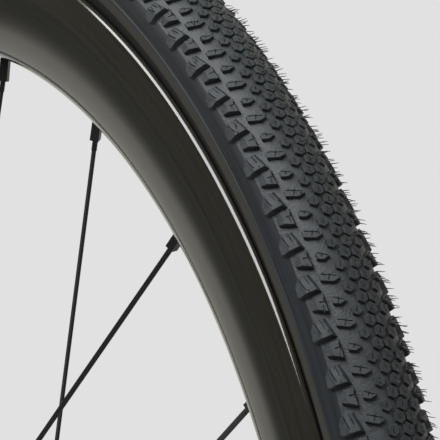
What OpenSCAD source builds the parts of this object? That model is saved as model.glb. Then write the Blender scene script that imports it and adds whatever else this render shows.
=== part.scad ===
/* [Tyre] */
// Width of the tyre across its bare sidewalls
tyre_w = 33.2; // [32:0.2:35]
// Height of the tyre section's centre above the rim's bead seat
section_lift = 17; // [16.6:0.1:17.6]
// Thickness of the airtight liner inside the tyre
liner_t = 0.5; // [0.3:0.1:0.8]
// Thickness of the corded casing
casing_t = 0.9; // [0.7:0.1:1.2]
// Thickness of the rubber over the casing at the sidewall
sidewall_t = 1; // [0.7:0.1:1.4]
// Thickness of the puncture belt under the tread
belt_t = 0.5; // [0.3:0.1:0.6]
// Thickness of the tread rubber over the belt
tread_base_t = 0.7; // [0.4:0.1:1]
// Height of the crown knobs above the tread rubber
crown_knob_h = 1.6; // [0.6:0.1:2]
// Height of the shoulder blocks above the tread rubber
shoulder_block_h = 1.3; // [1:0.1:3]
// Number of tread pitches round the tyre
tread_pitches = 130; // [100:1:150]
// Length of a large shoulder block round the tyre
large_block_l = 7.4; // [6:0.2:8]
// Width of a large shoulder block across the tyre
large_block_w = 7.8; // [6:0.2:8]
// Length of a small shoulder block round the tyre, at its wide end
small_block_l = 7; // [5:0.2:7.4]
// Width of a small shoulder block across the tyre
small_block_w = 3.8; // [3:0.2:4.4]
// Radius of a bead core
bead_core_r = 1.5; // [1.2:0.1:1.7]

/* [Rim] */
// Diameter at which the tyre's beads sit on the rim
bead_seat_d = 622; // [559:1:630]
// Height of the rim's lips above the bead seat
lip_h = 6; // [5:0.5:7]
// Outside width of the rim
rim_w = 28; // [27:0.5:32]
// Width between the rim's lips
rim_inner_w = 23.4; // [22:0.2:24]
// Depth of the rim from its lips to its inner edge
rim_depth = 42; // [36:1:50]
// Thickness of the rim's side walls
rim_wall_t = 2; // [1.4:0.1:2.5]
// Thickness of the rim where the nipples seat
spoke_bed_t = 3; // [2.4:0.1:4]
// Thickness of the rim tape
tape_t = 0.25; // [0.1:0.05:0.4]

/* [Spokes] */
// Spokes on each side of the wheel
spokes_per_side = 12; // [8:2:16]
// Width of a spoke's flat blade
blade_w = 2.3; // [1.6:0.1:2.6]
// Thickness of a spoke's flat blade
blade_t = 0.95; // [0.8:0.05:1.2]
// Radius of a spoke's round ends
spoke_r = 1; // [0.9:0.05:1.1]
// Width across the flats of a nipple
nipple_flats = 3.25; // [3:0.05:3.5]
// Length of a nipple outside the rim
nipple_out = 9; // [4:0.5:10]

/* [Hub] */
// Diameter of the circle of spoke holes in a hub flange
flange_pcd = 45; // [42:0.5:60]
// Distance from the wheel's middle plane to a flange
flange_offset = 26.25; // [25:0.25:27]
// Thickness of a flange
flange_t = 3; // [2.4:0.1:3.4]
// Distance between the outer faces of the end caps
hub_over_ends = 100; // [100:1:110]
// Diameter of the through axle that the hub takes
through_axle_d = 12; // [10:0.5:12]
// Clearance round the through axle, all round
axle_clearance = 0.06; // [0.05:0.01:0.3]
// Distance from the left end face to the brake disc's face
disc_inset = 10.45; // [9.5:0.05:11]
// Diameter of the circle of brake disc bolts
disc_pcd = 44; // [44:1:46]
// Radius of a brake disc bolt hole
disc_hole_r = 2.1; // [1.6:0.1:2.5]
// Bore of the bearings
bearing_bore_d = 15; // [15:0.5:17]
// Outside diameter of the bearings
bearing_d = 28; // [28:0.5:30]
// Width of the bearings
bearing_w = 7; // [6:0.5:8]
// Balls in each bearing
bearing_balls = 11; // [8:1:11]

/* [Valve] */
// Radius of the valve's stem
valve_stem_r = 3; // [2.8:0.1:3.2]
// Length of the stem inside the wheel, from the rim's inner edge
valve_reach = 25; // [22:1:35]

/* [Hidden] */
$fn = 96;

// Clearance of a tight fit between pieces that don't move on each other
fit_gap = 0.02;
// Clearance between pieces that run on each other
run_gap = 0.06;
// Overshoot of a cut past the face that it opens
cut = 1;

// Tyre section: its layers are rings round the section's centre, and angles start at the crown
seat_r = bead_seat_d / 2;
section_r = seat_r + section_lift;
sidewall_r = tyre_w / 2;
casing_r = sidewall_r - sidewall_t;
liner_r = casing_r - casing_t;
belt_r = casing_r + belt_t;
tread_r = belt_r + tread_base_t;
crown_r = tread_r + crown_knob_h;
chafer_step = 0.2;
chafer_r = sidewall_r - chafer_step;
belt_half_angle = 54;
tread_half_angle = 74;
crown_half_angle = 40;
sidewall_end_angle = 94;
section_end_angle = 150;
large_block_angle = 58;
small_block_angle = 51;
block_lean = 8;
block_root = 0.6;
block_spare = 2;
block_cut = 20;
pitch_angle = 360 / tread_pitches;
first_block_angle = 56.6;
small_block_lag = 0.543;

// Rim section: radius first, then distance from the wheel's middle plane
lip_r = seat_r + lip_h;
lip_round = (rim_w - rim_inner_w) / 4;
lip_mid_r = lip_r - lip_round;
lip_mid_half_w = rim_w / 2 - lip_round;
rim_in_r = lip_r - rim_depth;
nose_r = 11;
nose_mid_r = rim_in_r + nose_r;
band_h = 13.5;
band_taper = 0.3;
flare_r = lip_r - band_h;
flare_half_w = rim_w / 2 - band_taper;
shelf_t = 2.2;
hump_h = 0.4;
inner_half_w = rim_inner_w / 2;
shelf_w = 5.6;
hump_half_w = inner_half_w - shelf_w;
hump_ramp = 0.5;
well_depth = 5;
well_r = seat_r - well_depth;
well_slope = 1.5;
well_half_w = hump_half_w - well_slope;

// Bead: the foot of the casing, wrapped round its core and held inside the lips
bead_foot_r = seat_r + tape_t;
bead_rise = 0.3;
bead_top_r = lip_r + bead_rise;
bead_half_w = inner_half_w - fit_gap;
chafer_t = 0.4;
bead_w = 4.4;
bead_toe_h = 2.2;
bead_wrap_t = 0.5;
bead_core_inset = bead_core_r + bead_wrap_t;

// Spokes: holes on the left side lie half a step from those on the right
lace_step = 360 / spokes_per_side;
lace_cross = 2;
right_start = 18.52;
left_start = right_start - lace_step / 2;
outer_elbow_gap = 0.9;
elbow_out = spoke_r + outer_elbow_gap;
inner_elbow_gap = 0.2;
elbow_in = spoke_r + inner_elbow_gap;
spoke_hole_gap = 0.3;
spoke_hole_r = spoke_r + spoke_hole_gap;
head_rim = 0.9;
head_r = spoke_r + head_rim;
head_t = 1;
flange_edge = 3.5;
flange_r = flange_pcd / 2 + flange_edge;
nipple_seat_r = rim_in_r + spoke_bed_t;
nipple_wall = 0.95;
nipple_shank_r = spoke_r + nipple_wall;
nipple_hole_gap = 0.45;
nipple_hole_r = nipple_shank_r + nipple_hole_gap;
nipple_head_r = nipple_shank_r + nipple_wall;
nipple_head_h = 3;
nipple_collar = 1;
nipple_tip = 0.5;
nipple_spot_gap = 0.2;
nipple_spot_r = nipple_head_r + nipple_spot_gap;
nipple_access_gap = 1.3;
nipple_access_r = nipple_head_r + nipple_access_gap;
spoke_end_in = 1;
round_end_l = 16;
elbow_end_l = 30;
elbow_swell = 0.12;
elbow_r = spoke_r + elbow_swell;
blade_lap = 1;

// Hub
axle_bore_r = through_axle_d / 2 + axle_clearance;
bearing_in_r = bearing_bore_d / 2;
bearing_out_r = bearing_d / 2;
bearing_mid = flange_offset + bearing_w / 2;
bearing_near = bearing_mid - bearing_w / 2;
bearing_far = bearing_mid + bearing_w / 2;
ball_mid_r = (bearing_in_r + bearing_out_r) / 2;
ball_r = 1.95;
groove_r = ball_r + run_gap;
ring_gap_half = 1.4;
race_in_r = ball_mid_r - ring_gap_half;
race_out_r = ball_mid_r + ring_gap_half;
cage_gap = 0.5;
cage_half_t = ring_gap_half - cage_gap;
cage_w = 4.9;
cage_pocket_r = ball_r + run_gap;
seal_t = 0.5;
seal_gap = 0.25;
shell_wall = 3.5;
shell_r = bearing_out_r + shell_wall;
waist_r = bearing_out_r;
waist_half_w = 16;
seat_shoulder = 3;
bore_r = bearing_out_r - seat_shoulder;
axle_shoulder = 1.2;
axle_shoulder_r = bearing_in_r + axle_shoulder;
half_over_ends = hub_over_ends / 2;
cap_nose_l = 9;
axle_half_l = half_over_ends - cap_nose_l;
cap_wall_t = 2;
cap_r = bearing_in_r + cap_wall_t;
cap_chamfer = 1;
disc_face = half_over_ends - disc_inset;
disc_edge = 4.6;
disc_boss_r = disc_pcd / 2 + disc_edge;
disc_boss_t = 7.5;
disc_bolts = 6;
disc_bolt_floor = 1;
disc_bolt_depth = disc_boss_t - disc_bolt_floor;
spigot_r = 17.4;
spigot_h = 3;
shell_end_left = disc_face + spigot_h;
seal_room = 5;
shell_end_right = bearing_far + seal_room;
dust_seal_t = 2.5;
dust_seal_inset = 0.5;
dust_seal_gap = 0.3;

// Valve: places are distances from the wheel's centre along the valve's axis
valve_angle = left_start + 8 * lace_step + lace_step / 4;
valve_end = rim_in_r - valve_reach;
grommet_h = 3.2;
stem_lip = 1;
valve_top = well_r + tape_t + grommet_h + stem_lip;
stem_wall = 1.7;
valve_bore_r = valve_stem_r - stem_wall;
valve_hole_gap = 0.25;
valve_hole_r = valve_stem_r + valve_hole_gap;
thread_step = 0.45;
thread_r = valve_stem_r - thread_step;
thread_l = 8;
grommet_gap = 0.2;
grommet_r = well_half_w - grommet_gap;
grommet_top_t = 0.6;
seat_gap = 0.06;
lock_ring_rim = 2;
lock_ring_r = valve_stem_r + lock_ring_rim;
lock_ring_h = 4.5;
edge_chamfer = 0.6;
core_step = 0.35;
core_r = thread_r - core_step;
core_out = 3.5;
core_in = 14;
core_tail_r = valve_bore_r - fit_gap;
pin_r = 0.7;
pin_nut_step = 0.6;
pin_nut_r = core_r - pin_nut_step;
pin_nut_h = 2;
pin_nut_back = 3.8;
pin_tip = 0.2;
pin_out = core_out + pin_nut_back + pin_nut_h + pin_tip;
pin_head_gap = 0.3;
pin_head_r = valve_bore_r - pin_head_gap;
pin_head_h = 1.5;
cap_wall = 0.8;
cap_in_r = thread_r + run_gap;
cap_lift = 1;
cap_over = thread_l - cap_lift;
cap_room = 1;
cap_end = valve_end - pin_out - cap_room;

// Stands up a piece that is drawn lying flat: its upper side becomes the wheel's right side
module stand() {
    rotate([90, 0, 0])
        children();
}

// Right side as drawn, left side as its mirror image
module on_side(right) {
    if (right)
        children();
    else
        mirror([0, 0, 1])
            children();
}

// Ring round the wheel's axis from an outline of radius and distance from the middle plane
module wheel_ring(right = true) {
    stand()
        on_side(right)
            rotate_extrude()
                children();
}

// Outline of both halves of a section from its right half
module both_halves() {
    children();
    mirror([0, 1])
        children();
}

// Stretch of a ring of the tyre section between two angles from the crown
module section_stretch(inner, outer, from, to) {
    far = outer * 3;
    steps = 8;
    translate([section_r, 0])
        intersection() {
            difference() {
                circle(outer);
                circle(inner);
            }
            polygon([[0, 0],
                for (k = [0:steps])
                    let (angle = from + (to - from) * k / steps)
                        far * [cos(angle), sin(angle)]]);
        }
}

// Keeps what lies further out than the rim's lips
module above_lips() {
    intersection() {
        children();
        translate([bead_top_r, -tyre_w])
            square([tyre_w * 2, tyre_w * 2]);
    }
}

// Half width of a ring of the tyre section where it meets the rim's lips
function half_w_at_lip(ring) = sqrt(ring * ring - (section_r - bead_top_r) * (section_r - bead_top_r));

// One tread block at a section angle and a turn round the wheel: its top slopes down towards the crown
module tread_block(turn, angle, outline) {
    rotate([0, 0, turn])
        translate([section_r, 0, 0])
            rotate([0, 90 - angle, 0])
                difference() {
                    translate([0, 0, tread_r - block_root])
                        linear_extrude(height = block_root + shoulder_block_h + block_spare)
                            polygon(outline);
                    translate([0, 0, tread_r + shoulder_block_h])
                        rotate([0, block_lean, 0])
                            translate([-block_cut / 2, -block_cut / 2, 0])
                                cube(block_cut);
                }
}

// Outlines look down on a block: first across the tyre towards the crown, then round the wheel
large_outline = [for (corner = [[-1 / 6, 1 / 2], [-1 / 2, 1 / 6], [-1 / 2, -3 / 8], [-1 / 4, -1 / 2],
    [1 / 2, -1 / 2], [2 / 7, -1 / 7], [1 / 6, 3 / 8]])
    [corner[0] * large_block_w, corner[1] * large_block_l]];
small_outline = [for (corner = [[-1 / 2, 1 / 3], [-1 / 2, -2 / 9], [1 / 2, -1 / 2], [1 / 2, 1 / 2]])
    [corner[0] * small_block_w, corner[1] * small_block_l]];

module shoulder_blocks(right) {
    color("#2b2d2f")
        stand()
            on_side(right)
                for (i = [0:tread_pitches - 1]) {
                    tread_block(first_block_angle - i * pitch_angle, large_block_angle, large_outline);
                    tread_block(first_block_angle - (i + small_block_lag) * pitch_angle, small_block_angle,
                        small_outline);
                }
}

module shoulder_blocks_right() {
    shoulder_blocks(true);
}

module shoulder_blocks_left() {
    shoulder_blocks(false);
}

module tread() {
    color("#2f3133")
        wheel_ring() {
            section_stretch(belt_r, tread_r, -tread_half_angle, tread_half_angle);
            section_stretch(belt_r, crown_r, -crown_half_angle, crown_half_angle);
            both_halves()
                section_stretch(casing_r, tread_r, belt_half_angle, tread_half_angle);
        }
}

module breaker_belt() {
    color("#b08d3c")
        wheel_ring()
            section_stretch(casing_r, belt_r, -belt_half_angle, belt_half_angle);
}

// Foot of the casing between the lip and the tape, with room for the core
module bead_foot() {
    difference() {
        polygon([[bead_top_r, half_w_at_lip(liner_r)],
            [bead_top_r, half_w_at_lip(casing_r)],
            [lip_mid_r, bead_half_w - chafer_t],
            [bead_foot_r, bead_half_w - chafer_t],
            [bead_foot_r, bead_half_w - bead_w],
            [bead_foot_r + bead_toe_h, bead_half_w - bead_w]]);
        bead_core_outline(fit_gap);
    }
}

module bead_core_outline(room) {
    translate([bead_foot_r + bead_core_inset, bead_half_w - chafer_t - bead_core_inset])
        circle(bead_core_r + room);
}

module casing() {
    color("#3a3630")
        wheel_ring() {
            above_lips()
                section_stretch(liner_r, casing_r, -section_end_angle, section_end_angle);
            both_halves()
                bead_foot();
        }
}

module inner_liner() {
    color("#1f1f20")
        wheel_ring()
            above_lips()
                section_stretch(liner_r - liner_t, liner_r, -section_end_angle, section_end_angle);
}

module bead_core(right) {
    color("#c9a24a")
        wheel_ring(right)
            bead_core_outline(0);
}

module bead_core_right() {
    bead_core(true);
}

module bead_core_left() {
    bead_core(false);
}

module sidewall(right) {
    color("#33363a")
        wheel_ring(right)
            section_stretch(casing_r, sidewall_r, tread_half_angle, sidewall_end_angle);
}

module sidewall_right() {
    sidewall(true);
}

module sidewall_left() {
    sidewall(false);
}

module chafer(right) {
    color("#4a4741")
        wheel_ring(right)
            difference() {
                union() {
                    above_lips()
                        section_stretch(casing_r, chafer_r, sidewall_end_angle, section_end_angle);
                    polygon([[bead_top_r, half_w_at_lip(casing_r)],
                        [bead_top_r, half_w_at_lip(chafer_r)],
                        [lip_mid_r, bead_half_w],
                        [bead_foot_r, bead_half_w],
                        [bead_foot_r, bead_half_w - chafer_t],
                        [lip_mid_r, bead_half_w - chafer_t]]);
                }
                translate([lip_mid_r, lip_mid_half_w])
                    circle(lip_round + fit_gap);
            }
}

module chafer_right() {
    chafer(true);
}

module chafer_left() {
    chafer(false);
}

// Angle at which the rim's flank leaves its round nose
flank_angle = atan2(flare_half_w, flare_r - nose_mid_r)
    + acos(nose_r / norm([flare_r - nose_mid_r, flare_half_w]));

// Line from the right half to the left half of a section, given its right half
function across(line) = concat(line, mirrored(line));

function mirrored(line) = [for (i = [len(line) - 1:-1:0]) [line[i][0], -line[i][1]]];

function backwards(line) = [for (i = [len(line) - 1:-1:0]) line[i]];

// Right half of the tyre bed, from the lip down into the well, and of the tape on it
bed_line = [[seat_r, inner_half_w], [seat_r, hump_half_w + hump_ramp], [seat_r + hump_h, hump_half_w],
    [seat_r + hump_h, hump_half_w - hump_ramp], [well_r, well_half_w]];
tape_line = [[seat_r + tape_t, inner_half_w], [seat_r + tape_t, hump_half_w + hump_ramp],
    [seat_r + hump_h + tape_t, hump_half_w], [seat_r + hump_h + tape_t, hump_half_w - hump_ramp - tape_t],
    [well_r + tape_t, well_half_w - tape_t]];

module rim_outside() {
    translate([nose_mid_r, 0])
        circle(nose_r);
    for (side = [-1, 1])
        translate([lip_mid_r, side * lip_mid_half_w])
            circle(lip_round);
    polygon(across([[lip_mid_r, rim_w / 2], [flare_r, flare_half_w],
        [nose_mid_r + nose_r * cos(flank_angle), nose_r * sin(flank_angle)]]));
}

module rim_cavity() {
    cavity_r = nose_r - rim_wall_t;
    cavity_mid_r = nipple_seat_r + cavity_r;
    translate([cavity_mid_r, 0])
        circle(cavity_r);
    polygon(across([[well_r - rim_wall_t, well_half_w + hump_ramp],
        [seat_r - shelf_t, hump_half_w + hump_ramp],
        [seat_r - shelf_t, rim_w / 2 - rim_wall_t],
        [flare_r, flare_half_w - rim_wall_t],
        [cavity_mid_r, cavity_r]]));
}

module rim() {
    color("#24231f")
        stand()
            difference() {
                rotate_extrude()
                    difference() {
                        rim_outside();
                        polygon(across(concat([[lip_r + cut, inner_half_w]], bed_line)));
                        rim_cavity();
                    }
                for (right = [true, false])
                    on_side(right)
                        for (hole = [0:spokes_per_side - 1])
                            at_nipple(right, hole) {
                                translate([0, 0, -spoke_bed_t * 3])
                                    cylinder(r = nipple_hole_r, h = spoke_bed_t * 3 + cut);
                                cylinder(r = nipple_spot_r, h = nipple_head_h + cut);
                                translate([0, 0, well_r - nipple_seat_r - rim_wall_t - cut])
                                    cylinder(r = nipple_access_r, h = rim_wall_t + cut * 2);
                            }
                at_valve()
                    translate([0, 0, rim_in_r - cut])
                        cylinder(r = valve_hole_r, h = rim_depth);
            }
}

module rim_tape() {
    color("#2c5f8a")
        stand()
            difference() {
                rotate_extrude()
                    polygon(concat(across(bed_line), backwards(across(tape_line))));
                at_valve()
                    translate([0, 0, well_r - cut])
                        cylinder(r = valve_hole_r, h = tape_t + cut * 2);
            }
}

// Lacing: each second spoke of a side leads forwards, and the others trail
function lead(hole) = hole % 2 == 1 ? 1 : -1;

function rim_angle(right, hole) = (right ? right_start : left_start) + hole * lace_step;

function rim_end(right, hole) =
    let (angle = rim_angle(right, hole))
        [nipple_seat_r * cos(angle), nipple_seat_r * sin(angle), 0];

function hub_end(right, hole) =
    let (angle = rim_angle(right, hole) + lead(hole) * lace_cross * lace_step,
        face = lead(hole) > 0 ? flange_t / 2 + elbow_out : -flange_t / 2 - elbow_in)
        [flange_pcd / 2 * cos(angle), flange_pcd / 2 * sin(angle), flange_offset + face];

// Places a child at a point, with its upright along a direction
module aim(point, along) {
    translate(point)
        rotate([0, acos(along[2] / norm(along)), atan2(along[1], along[0])])
            children();
}

module at_nipple(right, hole) {
    aim(rim_end(right, hole), rim_end(right, hole) - hub_end(right, hole))
        children();
}

module spoke(right, hole) {
    start = hub_end(right, hole);
    run = norm(rim_end(right, hole) - start);
    through = lead(hole) * (start[2] - flange_offset) + flange_t / 2;
    aim(start, rim_end(right, hole) - start) {
        cylinder(r = spoke_r, h = elbow_end_l);
        translate([0, 0, elbow_end_l - blade_lap])
            linear_extrude(height = run - elbow_end_l - round_end_l + blade_lap * 2) {
                square([blade_t, blade_w - blade_t], center = true);
                for (edge = [-1, 1])
                    translate([0, edge * (blade_w - blade_t) / 2])
                        circle(blade_t / 2);
            }
        translate([0, 0, run - round_end_l])
            cylinder(r = spoke_r, h = round_end_l + spoke_end_in);
    }
    translate(start)
        sphere(elbow_r);
    translate(start)
        mirror([0, 0, lead(hole) > 0 ? 1 : 0]) {
            cylinder(r = spoke_r, h = through + head_t / 2);
            translate([0, 0, through])
                cylinder(r = head_r, h = head_t);
        }
}

module side_of_spokes(right) {
    color("#1b1b1c")
        stand()
            on_side(right)
                for (hole = [0:spokes_per_side - 1])
                    spoke(right, hole);
}

module spokes_right() {
    side_of_spokes(true);
}

module spokes_left() {
    side_of_spokes(false);
}

module side_of_nipples(right) {
    color("#161617")
        stand()
            on_side(right)
                for (hole = [0:spokes_per_side - 1])
                    at_nipple(right, hole)
                        difference() {
                            union() {
                                cylinder(r = nipple_head_r, h = nipple_head_h);
                                translate([0, 0, -spoke_bed_t - nipple_out])
                                    cylinder(r = nipple_flats / 2, h = spoke_bed_t + nipple_out);
                                translate([0, 0, -spoke_bed_t - nipple_collar])
                                    cylinder(r = nipple_shank_r, h = spoke_bed_t + nipple_collar);
                                translate([0, 0, -spoke_bed_t - nipple_out])
                                    linear_extrude(height = nipple_out - nipple_tip)
                                        square(nipple_flats, center = true);
                            }
                            translate([0, 0, -spoke_bed_t - nipple_out - cut])
                                cylinder(r = spoke_r + fit_gap, h = spoke_bed_t + nipple_out + cut * 2);
                            translate([0, 0, cut / 2])
                                cylinder(r = spoke_r + fit_gap, h = nipple_head_h);
                        }
}

module nipples_right() {
    side_of_nipples(true);
}

module nipples_left() {
    side_of_nipples(false);
}

module hub_shell() {
    near = flange_offset - flange_t / 2;
    far = flange_offset + flange_t / 2;
    color("#1c1d1f")
        stand()
            difference() {
                rotate_extrude()
                    polygon([[bore_r, -bearing_near], [bearing_out_r, -bearing_near],
                        [bearing_out_r, -shell_end_left], [spigot_r, -shell_end_left],
                        [spigot_r, -disc_face], [disc_boss_r, -disc_face],
                        [disc_boss_r, -disc_face + disc_boss_t], [shell_r, -disc_face + disc_boss_t],
                        [shell_r, -far], [flange_r, -far], [flange_r, -near], [shell_r, -near],
                        [waist_r, -waist_half_w], [waist_r, waist_half_w],
                        [shell_r, near], [flange_r, near], [flange_r, far], [shell_r, far],
                        [shell_r, shell_end_right], [bearing_out_r, shell_end_right],
                        [bearing_out_r, bearing_near], [bore_r, bearing_near]]);
                for (right = [true, false])
                    on_side(right)
                        for (hole = [0:spokes_per_side - 1])
                            rotate([0, 0, rim_angle(right, hole)])
                                translate([flange_pcd / 2, 0, near - cut])
                                    cylinder(r = spoke_hole_r, h = flange_t + cut * 2);
                for (bolt = [0:disc_bolts - 1])
                    rotate([0, 0, (bolt + 0.5) * 360 / disc_bolts])
                        translate([disc_pcd / 2, 0, -disc_face - cut])
                            cylinder(r = disc_hole_r, h = disc_bolt_depth + cut);
            }
}

module axle_tube() {
    color("#8d9096")
        wheel_ring()
            polygon([[axle_bore_r, -axle_half_l], [bearing_in_r, -axle_half_l],
                [bearing_in_r, -bearing_near], [axle_shoulder_r, -bearing_near],
                [axle_shoulder_r, bearing_near], [bearing_in_r, bearing_near],
                [bearing_in_r, axle_half_l], [axle_bore_r, axle_half_l]]);
}

module end_cap(right) {
    sleeve_r = bearing_in_r + fit_gap;
    foot_r = (bearing_in_r + race_in_r) / 2;
    color("#222325")
        wheel_ring(right)
            polygon([[sleeve_r, bearing_far], [foot_r, bearing_far], [cap_r, bearing_far + cap_chamfer],
                [cap_r, half_over_ends], [axle_bore_r, half_over_ends], [axle_bore_r, axle_half_l],
                [sleeve_r, axle_half_l]]);
}

module end_cap_right() {
    end_cap(true);
}

module end_cap_left() {
    end_cap(false);
}

module dust_seal(right) {
    outer_end = (right ? shell_end_right : shell_end_left) - dust_seal_inset;
    color("#3b3b3d")
        wheel_ring(right)
            translate([cap_r + dust_seal_gap, outer_end - dust_seal_t])
                square([bearing_out_r - fit_gap - cap_r - dust_seal_gap, dust_seal_t]);
}

module dust_seal_right() {
    dust_seal(true);
}

module dust_seal_left() {
    dust_seal(false);
}

// Ring of a bearing between two radii, with the groove in which its balls run
module bearing_ring(right, inner, outer) {
    color("#b9bcc2")
        wheel_ring(right)
            difference() {
                translate([inner, bearing_near])
                    square([outer - inner, bearing_w]);
                translate([ball_mid_r, bearing_mid])
                    circle(groove_r);
            }
}

module bearing_outer_race_right() {
    bearing_ring(true, race_out_r, bearing_out_r - fit_gap);
}

module bearing_outer_race_left() {
    bearing_ring(false, race_out_r, bearing_out_r - fit_gap);
}

module bearing_inner_race_right() {
    bearing_ring(true, bearing_in_r + fit_gap, race_in_r);
}

module bearing_inner_race_left() {
    bearing_ring(false, bearing_in_r + fit_gap, race_in_r);
}

module at_balls(right) {
    stand()
        on_side(right)
            for (ball = [0:bearing_balls - 1])
                rotate([0, 0, ball * 360 / bearing_balls])
                    translate([ball_mid_r, 0, bearing_mid])
                        children();
}

module bearing_balls_right() {
    color("#d4d6da")
        at_balls(true)
            sphere(ball_r);
}

module bearing_balls_left() {
    color("#d4d6da")
        at_balls(false)
            sphere(ball_r);
}

module bearing_cage(right) {
    color("#6f5a33")
        difference() {
            wheel_ring(right)
                translate([ball_mid_r - cage_half_t, bearing_mid - cage_w / 2])
                    square([cage_half_t * 2, cage_w]);
            at_balls(right)
                rotate([0, 90, 0])
                    cylinder(r = cage_pocket_r, h = cage_half_t * 4, center = true);
        }
}

module bearing_cage_right() {
    bearing_cage(true);
}

module bearing_cage_left() {
    bearing_cage(false);
}

module bearing_seals(right) {
    color("#8a2c26")
        wheel_ring(right)
            for (face = [bearing_near, bearing_far - seal_t])
                translate([race_in_r + seal_gap, face])
                    square([race_out_r - race_in_r - seal_gap - fit_gap, seal_t]);
}

module bearing_seals_right() {
    bearing_seals(true);
}

module bearing_seals_left() {
    bearing_seals(false);
}

// Valve: its upright points away from the wheel's centre
module at_valve() {
    rotate([0, 0, valve_angle])
        rotate([0, 90, 0])
            children();
}

// Round piece of the valve from its outline of radius and distance from the wheel's centre
module valve_turned(outline) {
    stand()
        at_valve()
            rotate_extrude()
                polygon(outline);
}

module valve_grommet() {
    foot = well_r + tape_t + seat_gap;
    color("#1d1d1e")
        valve_turned([[valve_stem_r + fit_gap, foot], [grommet_r, foot],
            [valve_stem_r + grommet_top_t, foot + grommet_h], [valve_stem_r + fit_gap, foot + grommet_h]]);
}

module valve_stem() {
    color("#1f2022")
        valve_turned([[valve_bore_r, valve_end], [thread_r, valve_end], [thread_r, valve_end + thread_l],
            [valve_stem_r, valve_end + thread_l], [valve_stem_r, valve_top], [valve_bore_r, valve_top]]);
}

module valve_lock_ring() {
    top = rim_in_r - seat_gap;
    color("#242527")
        valve_turned([[valve_stem_r + fit_gap, top - lock_ring_h],
            [lock_ring_r - edge_chamfer, top - lock_ring_h],
            [lock_ring_r, top - lock_ring_h + edge_chamfer],
            [lock_ring_r, top], [valve_stem_r + fit_gap, top]]);
}

module valve_core() {
    color("#c9b06a")
        valve_turned([[pin_r + run_gap, valve_end - core_out], [core_r, valve_end - core_out],
            [core_r, valve_end], [core_tail_r, valve_end], [core_tail_r, valve_end + core_in],
            [pin_r + run_gap, valve_end + core_in]]);
}

module valve_pin() {
    seal_at = valve_end + core_in + pin_head_gap;
    color("#cfd1d4")
        valve_turned([[0, valve_end - pin_out], [pin_r, valve_end - pin_out], [pin_r, seal_at],
            [pin_head_r, seal_at], [pin_head_r, seal_at + pin_head_h], [0, seal_at + pin_head_h]]);
}

module valve_pin_nut() {
    top = valve_end - core_out - pin_nut_back;
    color("#c9b06a")
        valve_turned([[pin_r + run_gap, top - pin_nut_h], [pin_nut_r, top - pin_nut_h],
            [pin_nut_r, top], [pin_r + run_gap, top]]);
}

module valve_cap() {
    color("#1a1a1b")
        valve_turned([[0, cap_end - cap_wall], [cap_in_r + cap_wall - edge_chamfer, cap_end - cap_wall],
            [cap_in_r + cap_wall, cap_end], [cap_in_r + cap_wall, valve_end + cap_over],
            [cap_in_r, valve_end + cap_over], [cap_in_r, cap_end], [0, cap_end]]);
}

tread();
shoulder_blocks_right();
shoulder_blocks_left();
breaker_belt();
casing();
inner_liner();
sidewall_right();
sidewall_left();
chafer_right();
chafer_left();
bead_core_right();
bead_core_left();
rim();
rim_tape();
spokes_right();
spokes_left();
nipples_right();
nipples_left();
hub_shell();
axle_tube();
end_cap_right();
end_cap_left();
dust_seal_right();
dust_seal_left();
bearing_outer_race_right();
bearing_outer_race_left();
bearing_inner_race_right();
bearing_inner_race_left();
bearing_balls_right();
bearing_balls_left();
bearing_cage_right();
bearing_cage_left();
bearing_seals_right();
bearing_seals_left();
valve_grommet();
valve_stem();
valve_lock_ring();
valve_core();
valve_pin();
valve_pin_nut();
valve_cap();
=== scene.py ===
"""Looks of a bicycle front wheel with a gravel tyre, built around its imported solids."""
import math

import bmesh
import bpy
import numpy as np
from mathutils import Matrix, Vector


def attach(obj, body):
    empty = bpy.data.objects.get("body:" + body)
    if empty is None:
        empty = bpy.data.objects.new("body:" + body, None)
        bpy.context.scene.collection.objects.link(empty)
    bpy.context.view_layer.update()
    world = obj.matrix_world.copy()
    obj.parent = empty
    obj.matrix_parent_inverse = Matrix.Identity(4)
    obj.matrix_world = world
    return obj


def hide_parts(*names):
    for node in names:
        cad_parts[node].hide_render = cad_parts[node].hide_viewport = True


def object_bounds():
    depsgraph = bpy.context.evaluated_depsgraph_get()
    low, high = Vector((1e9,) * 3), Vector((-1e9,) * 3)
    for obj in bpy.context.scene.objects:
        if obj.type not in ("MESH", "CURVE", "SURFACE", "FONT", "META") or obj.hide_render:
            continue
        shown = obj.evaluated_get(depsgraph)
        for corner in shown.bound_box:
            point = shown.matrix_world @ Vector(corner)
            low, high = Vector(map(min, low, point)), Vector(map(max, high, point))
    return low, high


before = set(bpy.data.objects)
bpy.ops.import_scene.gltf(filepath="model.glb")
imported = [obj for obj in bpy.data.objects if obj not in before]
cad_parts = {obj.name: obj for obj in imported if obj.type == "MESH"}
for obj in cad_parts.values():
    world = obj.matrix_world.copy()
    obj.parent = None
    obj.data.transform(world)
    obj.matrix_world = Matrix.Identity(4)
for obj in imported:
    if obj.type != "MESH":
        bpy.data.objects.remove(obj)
cad_low, cad_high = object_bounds()

MM = 0.001

# Tyre section, in mm and degrees: rings round the section's centre, angles from the crown, right side negative
SECTION_R = 328.0
CASING_R = 15.6
BELT_R = 16.1
TREAD_R = 16.8
SIDEWALL_R = 16.6
CHAFER_R = 16.4
BELT_HALF_ANGLE = 54.0
TREAD_HALF_ANGLE = 66.0
SIDEWALL_END_ANGLE = 94.0
# The mould's parting ridge on the sidewall: where it starts and ends, and how far it stands out between
RIDGE_START = 90.2
RIDGE = [(90.7, 0.18), (91.5, 0.22), (92.2, 0.02)]
RIDGE_END = 92.6

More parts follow.
